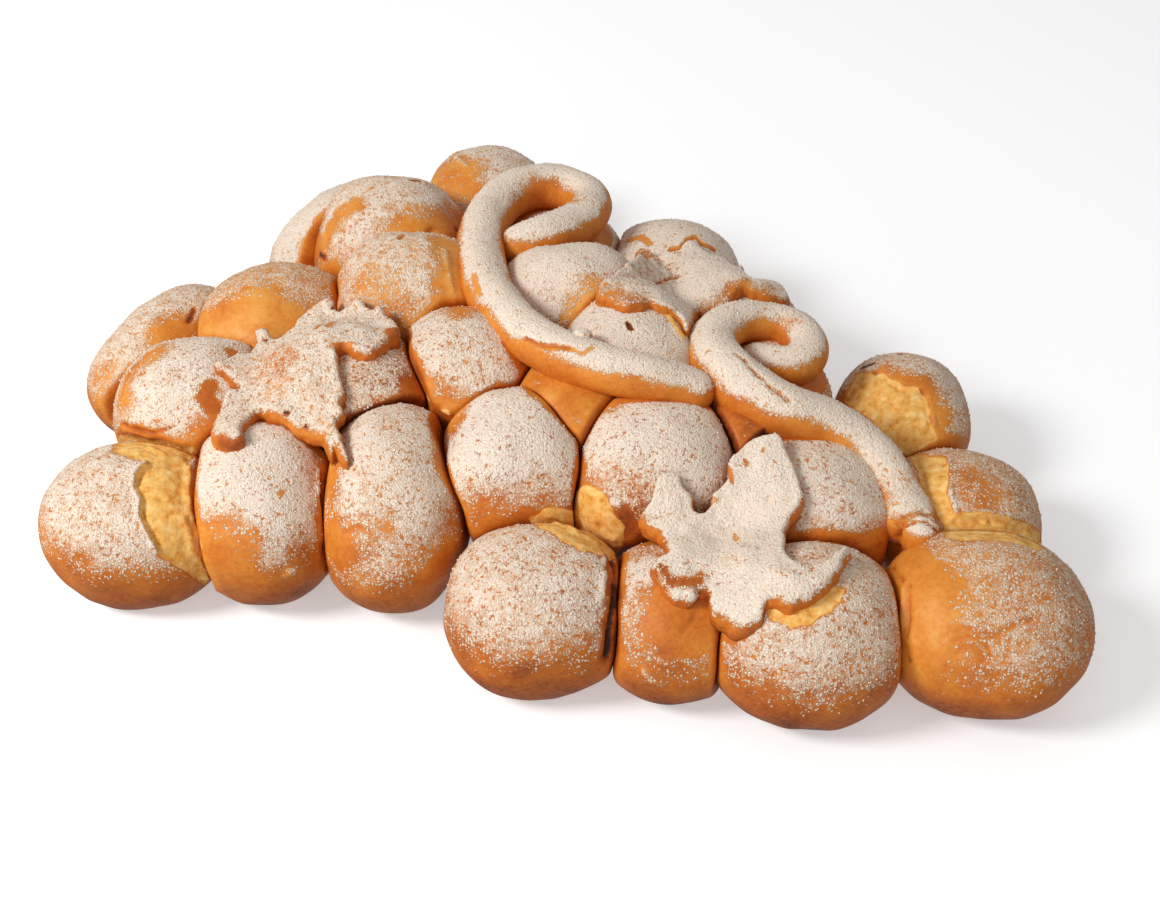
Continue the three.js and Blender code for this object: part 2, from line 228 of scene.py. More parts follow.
def rough_noise(points, size, octaves=3, shift=0.0):
    """Several octaves of noise, each half as large as the last."""
    total = np.zeros(len(points))
    for octave in range(octaves):
        total += noise(points, size / 2**octave, shift + 7.3 * octave) / 2**octave
    return total


def ramp(value, start, end):
    """0 before start and 1 after end, with a smooth rise between them."""
    t = np.clip((value - start) / (end - start), 0, 1)
    return t * t * (3 - 2 * t)


def smooth_min(a, b, blend):
    """The smaller of a and b, with the corner between them rounded over about `blend`."""
    overlap = np.maximum(blend - np.abs(a - b), 0) / blend
    return np.minimum(a, b) - overlap**2 * blend / 4


CURVE_PARTS = 40  # straight parts between two points that a curve runs through


def between(a, b, start, end, t):
    """Where a straight way from a, at time `start`, to b, at time `end`, is at time t."""
    return (end - t) / (end - start) * a + (t - start) / (end - start) * b


def smooth_curve(points, closed=False):
    """A centripetal Catmull-Rom curve through the points: close points on it, and how far along each is."""
    points = np.array(points, float)
    if closed:
        points = np.vstack([points[-1], points, points[:2]])
    else:
        points = np.vstack([2 * points[0] - points[1], points, 2 * points[-1] - points[-2]])
    fine = []
    for p0, p1, p2, p3 in zip(points, points[1:], points[2:], points[3:]):
        gaps = [max(np.linalg.norm((b - a)[:3]), 1e-6) ** 0.5 for a, b in ((p0, p1), (p1, p2), (p2, p3))]
        t0, t1, t2, t3 = 0, gaps[0], gaps[0] + gaps[1], sum(gaps)
        for t in np.linspace(t1, t2, CURVE_PARTS, endpoint=False):
            a1 = between(p0, p1, t0, t1, t)
            a2 = between(p1, p2, t1, t2, t)
            a3 = between(p2, p3, t2, t3, t)
            b1 = between(a1, a2, t0, t2, t)
            b2 = between(a2, a3, t1, t3, t)
            fine.append(between(b1, b2, t1, t2, t))
    fine = np.array([*fine, points[-2]])
    steps = np.linalg.norm(np.diff(fine[:, :3], axis=0), axis=1)
    return fine, np.concatenate([[0], np.cumsum(steps)])


def points_along(curve, places):
    """The points of a smooth curve at the given distances along it."""
    fine, along = curve
    return np.stack([np.interp(places, along, column) for column in fine.T], axis=1)


def distance_to_path(points, path):
    """How far each point is from the line through the path's points."""
    path = np.array(path, float)
    if len(path) == 1:
        return np.linalg.norm(points - path[0], axis=1)
    nearest = np.full(len(points), np.inf)
    for a, b in zip(path[:-1], path[1:]):
        way = b - a
        share = np.clip((points - a) @ way / max(way @ way, 1e-9), 0, 1)
        nearest = np.minimum(nearest, np.linalg.norm(points - a - share[:, None] * way, axis=1))
    return nearest


def normals_of(points, faces):
    """Unit normals at the points of a triangle mesh."""
    a, b, c = (points[faces[:, i]] for i in range(3))
    across = np.cross(b - a, c - a)
    normals = np.zeros_like(points)
    for i in range(3):
        np.add.at(normals, faces[:, i], across)
    return normals / np.maximum(np.linalg.norm(normals, axis=1), 1e-12)[:, None]


# ---------------------------------------------------------------- rolls

SEAM_BLEND = 3.5  # how widely a roll's shoulder rounds into the seam
SEAM_WAVE = 2.2  # how far a seam wanders from a flat face
SEAM_WAVE_SIZE = 27
FLOOR_BLEND = 5
SWELL = 1.4  # unevenness of a roll's skin


def roll_matrix(roll):
    """Takes a ball of radius 1 to the roll's upper half."""
    _, half, _, turn, lean, *_ = roll
    a, b = math.radians(turn), math.radians(lean)
    turned = np.array([[math.cos(a), -math.sin(a), 0], [math.sin(a), math.cos(a), 0], [0, 0, 1]])
    leaned = np.array([[1, 0, 0], [0, math.cos(b), -math.sin(b)], [0, math.sin(b), math.cos(b)]])
    return turned @ leaned @ np.diag(np.array(half, float))


CENTRES = np.array([roll[0] for roll in ROLLS], float)
TO_BALL = [np.linalg.inv(roll_matrix(roll)) for roll in ROLLS]


@functools.cache
def seams(index):
    """The faces between a roll and its neighbours: outward normal, offset, and 1 or -1 for its side."""
    faces = []
    for other in range(len(ROLLS)):
        way = CENTRES[other] - CENTRES[index]
        distance = np.linalg.norm(way)
        if other == index or distance > REACH:
            continue
        normal = way / distance
        own = 1 / np.linalg.norm(TO_BALL[index] @ normal)
        theirs = 1 / np.linalg.norm(TO_BALL[other] @ normal)
        out = (distance**2 + own**2 - theirs**2) / (2 * distance)
        faces.append((normal, normal @ CENTRES[index] + out, 1 if index < other else -1))
    return faces


def seam_height(points, seam):
    """How far out along its normal a seam is abreast of each point. Both its rolls get the same face."""
    normal, offset, side = seam
    abreast = points - (points @ normal - offset)[:, None] * normal
    return offset + side * SEAM_WAVE * rough_noise(abreast, SEAM_WAVE_SIZE, 2, 8.0) - GAP / 2


def skin_distance(index, directions):
    """How far the roll's own skin is from its centre along each direction."""
    centre, half, kind, *_ = ROLLS[index]
    local = directions @ TO_BALL[index].T
    depth = FOOT * centre[2] / half[2]
    power = SQUARENESS[kind]
    level = (np.abs(local[:, 0]) ** power + np.abs(local[:, 1]) ** power) ** (1 / power)
    height = local[:, 2]
    dome = 1 / np.hypot(level, height)
    if kind == RIM:
        return np.where(height < 0, 1 / np.hypot(level, height / depth), dome)
    flare = SPREAD / depth
    lowest = math.atan(flare)
    side = (math.cos(lowest) + flare * math.sin(lowest)) / np.maximum(level + flare * height, 1e-3)
    return np.where(height < flare * level, side, dome)


def ball_directions(subdivisions):
    """Points and triangles of an evenly divided ball of radius 1."""
    bm = bmesh.new()
    bmesh.ops.create_icosphere(bm, subdivisions=subdivisions, radius=1)
    points = np.array([v.co for v in bm.verts])
    faces = np.array([[v.index for v in f.verts] for f in bm.faces])
    bm.free()
    return points / np.linalg.norm(points, axis=1)[:, None], faces


def roll_shape(index, directions):
    """Points of a roll's skin: a ball pressed against its neighbours and the table."""
    centre = CENTRES[index]
    distance = skin_distance(index, directions)
    skin = centre + directions * distance[:, None]
    distance = distance + SWELL * noise(skin, 27) + 0.45 * SWELL * noise(skin, 11, 3.0)
    for seam in seams(index):
        normal, offset, _ = seam
        toward = np.flatnonzero(directions @ normal > 0.15)
        ways = directions[toward]
        facing = ways @ normal
        face = (offset - normal @ centre) / facing
        for _ in range(3):
            face = (seam_height(centre + ways * face[:, None], seam) - normal @ centre) / facing
        distance[toward] = smooth_min(distance[toward], face, SEAM_BLEND)
    table = centre[2] / np.maximum(-directions[:, 2], 1e-3)
    distance = smooth_min(distance, table, FLOOR_BLEND)
    return centre + directions * distance[:, None]


def keep_apart(points, index):
    """Points of a roll, moved back where they would pass into its neighbours or the table."""
    for seam in seams(index):
        over = np.maximum(points @ seam[0] - seam_height(points, seam), 0)
        points = points - over[:, None] * seam[0]
    points[:, 2] = np.maximum(points[:, 2], 0)
    return points


def distance_to_seams(points, index):
    """How far inside the nearest of the roll's seams each point is."""
    gap = np.full(len(points), np.inf)
    for seam in seams(index):
        gap = np.minimum(gap, seam_height(points, seam) - points @ seam[0])
    return gap


# ---------------------------------------------------------------- vines

VINE_STEP = 1.3
VINE_SIDES = 58
TIP_RINGS = 12


@functools.cache
def vine_route(name):
    """Points and radii along a vine, closer together where its ends are rounded."""
    route = VINES[name]
    curve = smooth_curve(route)
    length = curve[1][-1]
    first, last = route[0][3], route[-1][3]
    bend = 1 - np.cos(np.linspace(0, math.pi / 2, TIP_RINGS))
    places = np.concatenate(
        [first * bend, np.arange(first, length - last, VINE_STEP)[1:], length - last * bend[::-1]]
    )
    points = points_along(curve, places)
    from_end = np.minimum(places, length - places)
    end = np.where(places < length / 2, first, last)
    tip = np.sqrt(1 - np.clip(1 - from_end / end, 0, 1) ** 2)
    return points[:, :3], points[:, 3] * tip


def vine_shape(name):
    """Points and triangles of a rope of dough."""
    centres, radii = vine_route(name)
    ways = np.gradient(centres, axis=0)
    ways /= np.linalg.norm(ways, axis=1)[:, None]
    side = np.cross(ways[0], [0, 0, 1])
    angles = np.linspace(0, 2 * math.pi, VINE_SIDES, endpoint=False)
    points = []
    for centre, way, radius in zip(centres, ways, radii):
        side = side - (side @ way) * way
        side /= np.linalg.norm(side)
        over = np.cross(way, side)
        ring = np.cos(angles)[:, None] * side + np.sin(angles)[:, None] * over
        points.append(centre + radius * ring)
    points = np.concatenate(points)
    around = np.repeat(centres, VINE_SIDES, axis=0)
    out = points - around
    size = 1 + 0.05 * noise(around + out, 21, 5.0) + 0.025 * noise(around + out, 8, 9.0)
    points = around + out * size[:, None]
    faces = tube_faces(len(centres), VINE_SIDES)
    return points, faces


def tube_faces(rings, sides):
    """Triangles between rings of points, with the first and last ring closed by a fan."""
    faces = []
    for ring in range(rings - 1):
        a = ring * sides + np.arange(sides)
        b = ring * sides + (np.arange(sides) + 1) % sides
        faces.append(np.stack([a, b, a + sides], axis=1))
        faces.append(np.stack([b, b + sides, a + sides], axis=1))
    last = (rings - 1) * sides
    around = np.arange(1, sides - 1)
    faces.append(np.stack([np.zeros_like(around), around + 1, around], axis=1))
    faces.append(np.stack([last + np.zeros_like(around), last + around, last + around + 1], axis=1))
    return np.concatenate(faces)


# ---------------------------------------------------------------- leaves

LEAF_STEP = 1.15
LEAF_ROUND = 2.2  # radius of the upper edge
LEAF_CROWN = 2.0  # how much thicker a leaf is in its middle
WALL_RINGS = 6
WALL_BULGE = 0.9


def heap_height(x, y):
    """Height of the rolls' domes above points of the table."""
    highest = np.zeros(len(x))
    level = np.stack([x, y, np.zeros(len(x))], axis=1)
    for roll, centre, to_ball in zip(ROLLS, CENTRES, TO_BALL):
        foot = (level - centre) @ to_ball.T
        rise = to_ball[:, 2]
        power = SQUARENESS[roll[2]]
        height = np.full(len(x), centre[2])
        for _ in range(3):
            at = foot + height[:, None] * rise
            across = (np.abs(at[:, 0]) ** power + np.abs(at[:, 1]) ** power) ** (1 / power)
            inside = across < 1
            top = np.sqrt(np.maximum(1 - across**2, 0))
            height = np.where(inside, (top - foot[:, 2]) / rise[2], height)
        highest = np.where(inside, np.maximum(highest, height), highest)
    return highest


def draped_height(x, y):
    """Height at which a soft sheet lies over the rolls."""
    total = heap_height(x, y) ** DRAPE_POWER
    count = 1
    for radius, places in ((DRAPE_RADIUS / 2, 6), (DRAPE_RADIUS, 12)):
        for place in range(places):
            angle = 2 * math.pi * place / places
            shifted = heap_height(x + radius * math.cos(angle), y + radius * math.sin(angle))
            total += shifted**DRAPE_POWER
            count += 1
    return (total / count) ** (1 / DRAPE_POWER)


def on_drape(pixels, lowest):
    """Where the camera's lines through the pixels reach the upper side of a sheet on the rolls."""
    lines = np.array([sight_line(*pixel) for pixel in pixels])
    height = np.full(len(lines), 90.0)
    for _ in range(30):
        places = CAMERA_AT + lines * ((height - CAMERA_AT[2]) / lines[:, 2])[:, None]
        over = draped_height(places[:, 0], places[:, 1]) + LEAF_THICK
        height += 0.5 * (np.maximum(over, lowest) - height)
    return places


@functools.cache
def leaf_outline(name):
    """A leaf's outline on the table, counterclockwise in even steps, with a slightly ragged edge."""
    _, lowest, pixels = LEAVES[name]
    flat = on_drape(pixels, lowest) * (1, 1, 0)
    x, y, _ = flat.T
    if np.sum(x * np.roll(y, -1) - y * np.roll(x, -1)) < 0:
        flat = flat[::-1]
    curve = smooth_curve(flat, closed=True)
    length = curve[1][-1]
    points = points_along(curve, np.linspace(0, length, round(length / LEAF_STEP), endpoint=False))
    ragged = 0.55 * noise(points, 4.5) + 0.35 * noise(points, 2.4, 4.0)
    return points[:, :2] + outward(points[:, :2]) * ragged[:, None]


def outward(edge):
    """The direction that points out of a counterclockwise outline at each of its points."""
    way = np.roll(edge, -1, axis=0) - np.roll(edge, 1, axis=0)
    return np.stack([way[:, 1], -way[:, 0]], axis=1) / np.linalg.norm(way, axis=1)[:, None]


def leaf_sheet(edge):
    """Flat points that fill an outline, the outline's own points first, and triangles between them."""
    low, high = edge.min(axis=0), edge.max(axis=0)
    x, y = np.meshgrid(np.arange(low[0], high[0], LEAF_STEP), np.arange(low[1], high[1], 0.866 * LEAF_STEP))
    x[1::2] += LEAF_STEP / 2
    x, y = x.ravel(), y.ravel()
    inner = inside_outline(x, y, edge)
    inner[inner] = depth_inside(np.stack([x[inner], y[inner]], axis=1), edge) > 0.6 * LEAF_STEP
    flat = np.vstack([edge, np.stack([x[inner], y[inner]], axis=1)])
    rim = [(i, (i + 1) % len(edge)) for i in range(len(edge))]
    places, _, faces, *_ = delaunay_2d_cdt([Vector(place) for place in flat.tolist()], rim, [], 1, 1e-6)
    return np.array([place[:] for place in places]), np.array(faces)


def depth_inside(flat, edge):
    """How far each flat point is from the outline."""
    closed = np.vstack([edge, edge[:1]])
    return distance_to_path(flat, closed)


def leaf_shape(name):
    """Points and triangles of a leaf: a thick sheet of dough with steep sides, lying over the rolls."""
    edge = leaf_outline(name)
    flat, sheet = leaf_sheet(edge)
    count = len(edge)
    depth = depth_inside(flat, edge)
    depth[:count] = 0
    ground = draped_height(flat[:, 0], flat[:, 1])
    curl = np.maximum(LEAF_ROUND - depth, 0)
    round_off = LEAF_ROUND - np.sqrt(LEAF_ROUND**2 - curl**2)
    upper = np.column_stack([flat, ground + LEAF_THICK - round_off + LEAF_CROWN * ramp(depth, 2, 20)])
    upper[:, 2] += 1.3 * noise(upper, 15) + 0.6 * noise(upper, 6, 2.0) * ramp(depth, 0, 5)
    lower = np.column_stack([flat, ground - LEAF_SINK])
    out = np.column_stack([outward(edge), np.zeros(count)])
    rings = []
    for share in np.arange(1, WALL_RINGS) / WALL_RINGS:
        ring = upper[:count] * (1 - share) + lower[:count] * share
        bulge = WALL_BULGE * (math.sin(math.pi * share) - 0.8 * share) + 0.5 * noise(ring, 3.0)
        rings.append(ring + out * bulge[:, None])
    points = np.concatenate([upper, *rings, lower])
    under = len(upper) + count * len(rings)
    starts = [0, *(len(upper) + count * ring for ring in range(len(rings))), under]
    ahead = np.arange(count)
    after = (ahead + 1) % count
    faces = [sheet, sheet[:, ::-1] + under]
    for a, b in zip(starts[:-1], starts[1:]):
        faces.append(np.stack([a + ahead, b + ahead, a + after], axis=1))
        faces.append(np.stack([a + after, b + ahead, b + after], axis=1))
    return points, np.concatenate(faces)


# ---------------------------------------------------------------- what the baking left on the crust, and painted shade and light

# Each kind of mark: how far it raises the crust (mm), what it adds to the flour, how far it lays bare the
# torn inside, what it adds to the baking layer (painted shade and light included), and how many mm it fades
# over.
KINDS = {
    "torn": (-1.4, -2.0, 1.0, -0.2, 2.5),
    "web": (0.8, -2.0, 1.0, -0.2, 3.0),
    "strand": (1.5, -1.8, 1.0, -0.3, 1.6),
    "lip": (1.2, 0.5, 0.0, -0.1, 1.6),
    # painted shade: a crease sinks the crust and darkens it where shade falls in the groove
    "shaded_crease": (-1.5, -1.0, 0.0, 0.35, 1.4),
    # painted shade: a wrinkle sinks the crust a little and darkens it in the groove
    "shaded_wrinkle": (-0.6, -0.4, 0.0, 0.12, 1.6),
    "bare": (0.0, -0.9, 0.0, 0.0, 13.0),
    "thin": (0.0, -0.35, 0.0, 0.0, 12.0),
    "dust": (0.0, 0.5, 0.0, 0.0, 10.0),
    # bare golden crust, made lighter as painted light where the rolls' sides face the lamp
    "lit_gold": (0.0, -0.9, 0.0, -0.1, 13.0),
    "fleck": (0.0, -1.2, 0.0, -0.1, 1.4),
    # browner crust: partly real browning at edges, partly painted shade in seams and under leaf and knob
    # edges
    "brown_and_shade": (0.0, -1.3, 0.0, 0.2, 5.0),
    "burn": (-0.3, -1.5, 0.0, 0.6, 1.6),
    "bump": (2.2, 0.0, 0.0, 0.08, 2.5),
}

# Marks that the front view shows: kind, half width in mm, and the pixels of the picture they run through.
ROLL_MARKS = [
    # front row, from the left
    ("strand", 1.2, [(188, 466), (187, 490), (190, 512), (197, 535), (198, 558), (206, 580)]),
    ("strand", 1.0, [(184, 518), (190, 535), (194, 556)]),
    ("strand", 0.9, [(150, 446), (165, 454), (184, 458)]),
    ("shaded_crease", 0.6, [(152, 464), (140, 472), (137, 486), (144, 498), (143, 514), (150, 530), (161, 550)]),
    ("lip", 1.2, [(146, 462), (136, 470), (133, 486), (140, 500), (139, 514), (146, 531), (157, 550)]),
    ("lip", 0.9, [(318, 470), (317, 495), (320, 530), (326, 560)]),
    ("shaded_crease", 0.7, [(321, 470), (321, 500), (324, 540), (330, 572)]),
    ("lit_gold", 2.5, [(332, 462), (331, 500), (334, 545)]),
    ("fleck", 1.5, [(281, 494)]),
    ("lip", 2.0, [(288, 575), (294, 570)]),
    ("shaded_wrinkle", 0.7, [(340, 520), (355, 514), (370, 517)]),
    ("shaded_wrinkle", 0.6, [(343, 533), (358, 527), (370, 531)]),
    ("thin", 5, [(350, 545), (380, 525)]),
    ("shaded_crease", 0.7, [(122, 424), (140, 430), (152, 433), (170, 428)]),
    ("lip", 1.0, [(124, 430), (138, 434), (150, 437)]),
    # the middle junction
    ("strand", 1.0, [(586, 490), (590, 512), (600, 532), (612, 548)]),
    ("strand", 0.9, [(600, 497), (606, 515), (618, 534)]),
    ("strand", 1.0, [(548, 514), (570, 520), (592, 530), (612, 538)]),
    ("strand", 0.9, [(556, 526), (575, 535), (596, 545)]),
    ("shaded_crease", 0.7, [(594, 500), (598, 520), (610, 536)]),
    # painted shade in the seams between rolls 04, 05, 11 and 13
    ("brown_and_shade", 3.0, [(624, 512), (628, 524), (620, 530)]),
    ("brown_and_shade", 2.5, [(609, 560), (613, 590), (610, 625), (606, 655)]),
    ("shaded_crease", 1.8, [(611, 560), (614, 590), (610, 625), (606, 655)]),
    ("lip", 1.2, [(603, 556), (603, 580), (600, 600)]),
    ("lit_gold", 4, [(545, 400), (575, 392), (610, 400)]),
    ("thin", 7, [(500, 500), (540, 490)]),
    ("thin", 7, [(600, 480), (640, 480)]),
    ("lip", 1.2, [(612, 503), (618, 505)]),
    # front row, right
    ("shaded_wrinkle", 0.6, [(683, 632), (690, 622), (696, 614)]),
    ("dust", 4, [(640, 570), (643, 600)]),
    ("lip", 0.9, [(643, 670), (650, 680), (662, 684)]),
    ("lip", 0.9, [(903, 665), (903, 625), (904, 588)]),
    ("shaded_crease", 0.7, [(908, 660), (909, 620), (909, 585)]),
    ("shaded_wrinkle", 0.5, [(952, 642), (962, 636), (978, 638), (988, 646), (990, 660)]),
    ("shaded_wrinkle", 0.5, [(956, 652), (968, 646), (980, 652), (984, 662)]),
    ("shaded_wrinkle", 0.5, [(940, 640), (956, 629), (975, 628), (996, 638)]),
    ("shaded_wrinkle", 0.5, [(1000, 632), (1015, 624), (1030, 618)]),
    ("lip", 0.9, [(950, 517), (985, 513), (1010, 517), (1042, 537)]),
    ("shaded_crease", 0.9, [(975, 520), (1000, 523), (1025, 531)]),
    ("shaded_crease", 1.2, [(922, 470), (925, 485)]),
    ("lip", 1.2, [(948, 462), (950, 490), (956, 512)]),
    ("thin", 16, [(945, 590), (935, 610), (950, 650)]),
    ("thin", 9, [(970, 480), (985, 490)]),
    ("shaded_crease", 0.9, [(880, 545), (893, 566), (903, 580)]),
    ("lit_gold", 2.5, [(874, 535), (882, 552), (896, 572)]),
    # second row, left
    ("brown_and_shade", 3, [(211, 385), (205, 400), (215, 408)]),
    ("brown_and_shade", 1, [(232, 352), (236, 362), (228, 368)]),
    ("lit_gold", 1, [(124, 400), (132, 372), (155, 353)]),
    ("shaded_wrinkle", 1.0, [(122, 394), (130, 371), (152, 351)]),
    ("lip", 1.2, [(226, 341), (245, 346), (256, 352)]),
    ("burn", 1.2, [(188, 322), (194, 310)]),
    ("bare", 4, [(165, 333), (178, 328)]),
    ("thin", 14, [(225, 320), (260, 300)]),
    ("thin", 8, [(105, 370), (110, 400)]),
    ("bare", 4, [(206, 425), (200, 445)]),
    # narrow end
    ("lit_gold", 1.5, [(350, 206), (337, 218), (328, 240)]),
    ("lip", 1.6, [(346, 200), (331, 214), (324, 234)]),
    ("burn", 1.3, [(320, 254), (325, 258)]),
    ("lit_gold", 2, [(308, 243), (320, 246)]),
    ("burn", 1.2, [(411, 180), (419, 181)]),
    ("shaded_crease", 1.2, [(400, 238), (430, 230), (458, 230)]),
    ("dust", 4, [(415, 210), (455, 206)]),
    ("burn", 1.0, [(455, 203)]),
    ("lip", 1.4, [(440, 160), (456, 158), (466, 166)]),
    ("lit_gold", 3, [(449, 245), (455, 280), (460, 310)]),
    ("lip", 1.0, [(444, 250), (450, 282), (454, 305)]),
    ("thin", 10, [(365, 285), (395, 310)]),
    # behind the vines
    ("burn", 0.9, [(627, 323), (630, 329)]),
    ("strand", 1.6, [(650, 303), (668, 316), (682, 338)]),
    ("lit_gold", 4, [(594, 284), (582, 298), (576, 314)]),
    ("fleck", 3, [(628, 241), (640, 237), (650, 243)]),
    ("fleck", 1.4, [(671, 249), (681, 247), (687, 239), (695, 236), (703, 244), (714, 249)]),
    # painted shadow along the back leaf's upper edge
    ("shaded_crease", 0.7, [(671, 250), (681, 248), (687, 240), (695, 237), (703, 245), (714, 250)]),
    ("lit_gold", 4, [(415, 390), (440, 405), (455, 420)]),
    ("strand", 1.2, [(428, 398), (448, 412)]),
    # right back
    ("shaded_crease", 0.8, [(872, 372), (890, 380), (898, 388), (920, 388), (927, 402), (931, 425)]),
    ("lit_gold", 3, [(880, 374), (900, 386), (920, 390), (928, 410), (932, 430)]),
    ("burn", 1.1, [(900, 354)]),
    ("burn", 1.2, [(862, 368), (872, 364)]),
    ("lip", 0.8, [(926, 400), (930, 412), (934, 424)]),
    ("shaded_crease", 0.5, [(872, 400), (884, 396), (894, 402)]),
    ("shaded_crease", 0.5, [(880, 412), (892, 408), (905, 413)]),
    ("shaded_crease", 0.5, [(890, 428), (902, 420), (916, 424)]),
]
# Areas that the front view shows: kind, the rolls they lie on, and their outline in pixels of the picture.
ROLL_AREAS = [
    ("torn", (1, 2), [
        (152, 464), (140, 470), (136, 485), (144, 498), (142, 512), (148, 528), (157, 540), (162, 553),
        (175, 562), (190, 570), (206, 584), (203, 572), (198, 560), (197, 545), (194, 530), (190, 515),
        (187, 500), (186, 480), (186, 465), (170, 462),
    ]),
    ("torn", (1, 8), [
        (122, 438), (150, 440), (175, 447), (192, 450), (186, 464), (160, 463), (140, 456), (116, 450),
    ]),
    ("torn", (24,), [
        (846, 400), (858, 376), (870, 374), (884, 376), (900, 386), (918, 388), (926, 402), (930, 424),
        (936, 438), (908, 454), (896, 446), (882, 426), (866, 412),
    ]),
    ("torn", (16,), [
        (914, 456), (930, 458), (944, 460), (946, 476), (944, 492), (950, 512), (942, 520), (936, 508),
        (926, 492), (920, 474),
    ]),
    ("torn", (7, 16), [
        (946, 520), (960, 516), (985, 515), (1005, 518), (1030, 528), (1046, 542), (1040, 546), (1010, 538),
        (985, 535), (960, 538), (948, 534),
    ]),
    ("web", (4, 5, 11, 13), [
        (545, 511), (562, 512), (576, 513), (580, 494), (588, 488), (602, 496), (610, 512), (622, 528),
        (620, 544), (612, 556), (596, 552), (582, 548), (566, 538), (548, 528), (534, 520),
    ]),
    ("torn", (6,), [
        (766, 600), (780, 610), (800, 610), (822, 600), (836, 588), (842, 592), (830, 608), (812, 620),
        (790, 625), (772, 616),
    ]),
    # painted light on the lit left side of roll 02
    ("lit_gold", (2,), [(200, 530), (225, 528), (245, 545), (250, 575), (240, 590), (215, 585), (202, 560)]),
    ("bare", (5,), [
        (652, 600), (668, 592), (690, 602), (715, 615), (712, 640), (690, 640), (672, 640), (660, 625),
    ]),
    # painted light on the lit left side of roll 07
    ("lit_gold", (7,), [(914, 572), (930, 566), (936, 590), (934, 640), (925, 668), (912, 665), (912, 620)]),
    ("lit_gold", (18,), [
        (198, 326), (240, 320), (280, 314), (294, 312), (285, 328), (268, 345), (240, 345), (215, 337),
    ]),
    ("lit_gold", (27,), [(434, 182), (440, 170), (458, 166), (470, 174), (470, 190), (455, 196), (440, 194)]),
    ("lit_gold", (26,), [(392, 224), (425, 216), (458, 220), (456, 238), (425, 241), (398, 240)]),
]
VINE_MARKS = [
    ("shaded_crease", 0.9, [(525, 338), (540, 344), (568, 347)]),
    ("fleck", 1.0, [(525, 341), (545, 347), (570, 349)]),
    ("fleck", 1.2, [(574, 350), (583, 354), (592, 348)]),
    ("shaded_crease", 0.7, [(738, 354), (755, 372), (770, 386), (788, 400)]),
    ("shaded_crease", 1.0, [(898, 536), (908, 524), (924, 521), (937, 530)]),
    ("shaded_crease", 0.8, [(895, 524), (905, 515), (922, 512), (936, 522)]),
    ("brown_and_shade", 3.0, [(906, 556), (920, 558), (934, 550)]),
    ("thin", 7, [(905, 470), (895, 495)]),
    ("fleck", 2, [(778, 434)]),
    ("bare", 2, [(545, 190), (572, 200)]),
    ("bare", 2, [(768, 324), (790, 322)]),
    ("fleck", 2, [(474, 275), (480, 296)]),
]
LEAF_MARKS = [
    # left leaf
    ("bump", 3, [(263, 333)]),
    ("bump", 3, [(328, 303)]),
    ("bump", 3, [(359, 304)]),
    ("bump", 2.6, [(379, 311)]),
    ("burn", 0.8, [(382, 312)]),
    ("burn", 0.8, [(333, 308)]),
    ("burn", 0.8, [(266, 340)]),
    ("brown_and_shade", 3, [(393, 332), (401, 336)]),
    ("brown_and_shade", 2, [(340, 352), (346, 360)]),
    ("brown_and_shade", 3.0, [(222, 443), (238, 446)]),
    ("burn", 1.0, [(286, 413)]),
    ("burn", 1.0, [(306, 427)]),
    ("fleck", 2.0, [(268, 413), (280, 420), (296, 432), (308, 436)]),
    ("thin", 1, [(285, 362), (275, 385)]),
    ("thin", 1, [(262, 372), (275, 352)]),
    ("fleck", 1.0, [(316, 328), (322, 324)]),
    ("fleck", 1.0, [(328, 326), (334, 322)]),
    ("fleck", 1.2, [(350, 344), (345, 348)]),
    # front leaf
    ("fleck", 3.0, [(648, 530), (660, 540)]),
    ("fleck", 2.5, [(645, 545), (660, 552)]),
    ("brown_and_shade", 1.0, [(660, 568), (672, 580), (690, 584), (698, 580)]),
    ("bump", 3, [(692, 594)]),
    ("fleck", 1.2, [(730, 468), (732, 482)]),
    ("fleck", 0.8, [(745, 460), (747, 464)]),
    ("fleck", 1.2, [(718, 488), (717, 500)]),
    ("fleck", 0.8, [(734, 534), (737, 540)]),
    ("fleck", 0.8, [(762, 452), (765, 446)]),
    ("thin", 5, [(700, 575), (725, 560), (745, 545)]),
    ("thin", 5, [(790, 570), (810, 575)]),
    # back leaf
    # painted shadow under the back leaf's upper edge
    ("shaded_crease", 0.9, [(660, 251), (675, 251), (682, 243), (690, 239), (700, 244), (710, 252)]),
    ("fleck", 2.5, [(642, 245), (648, 256)]),
    ("bare", 2.5, [(622, 264), (634, 258), (641, 252)]),
    ("bare", 4.0, [(604, 294), (622, 300), (642, 299)]),
    ("fleck", 1.6, [(612, 276), (606, 284)]),
    ("shaded_crease", 0.8, [(655, 282), (668, 278), (678, 276)]),
    ("bare", 1.6, [(742, 288), (756, 291), (768, 296)]),
    ("bare", 2.0, [(700, 308), (716, 308), (728, 299), (738, 290)]),
    ("thin", 9, [(622, 285), (642, 276), (668, 270)]),
]


class Surface:
    """The built shapes of one family of pieces, so that a pixel of the picture can be found on them."""

    def __init__(self, shapes):
        points = []
        faces = []
        count = 0
        for shape in shapes:
            points.append(shape["points"])
            faces.append(shape["faces"] + count)
            count += len(shape["points"])
        points = np.concatenate(points)
        self.tree = BVHTree.FromPolygons(points.tolist(), np.concatenate(faces).tolist())

    def spot(self, pixel):
        """The place on the surface that the camera sees at a pixel, or None past its edge."""
        hit = self.tree.ray_cast(Vector(CAMERA_AT), Vector(sight_line(*pixel)))[0]
        return None if hit is None else np.array(hit)


def placed_marks(marks, surface):
    """Marks with their pixels turned into places on the surface."""
    placed = []
    for kind, width, pixels in marks:
        path = [surface.spot(pixel) for pixel in pixels]
        path = [place for place in path if place is not None]
        if path:
            placed.append((kind, width, path))
    return placed


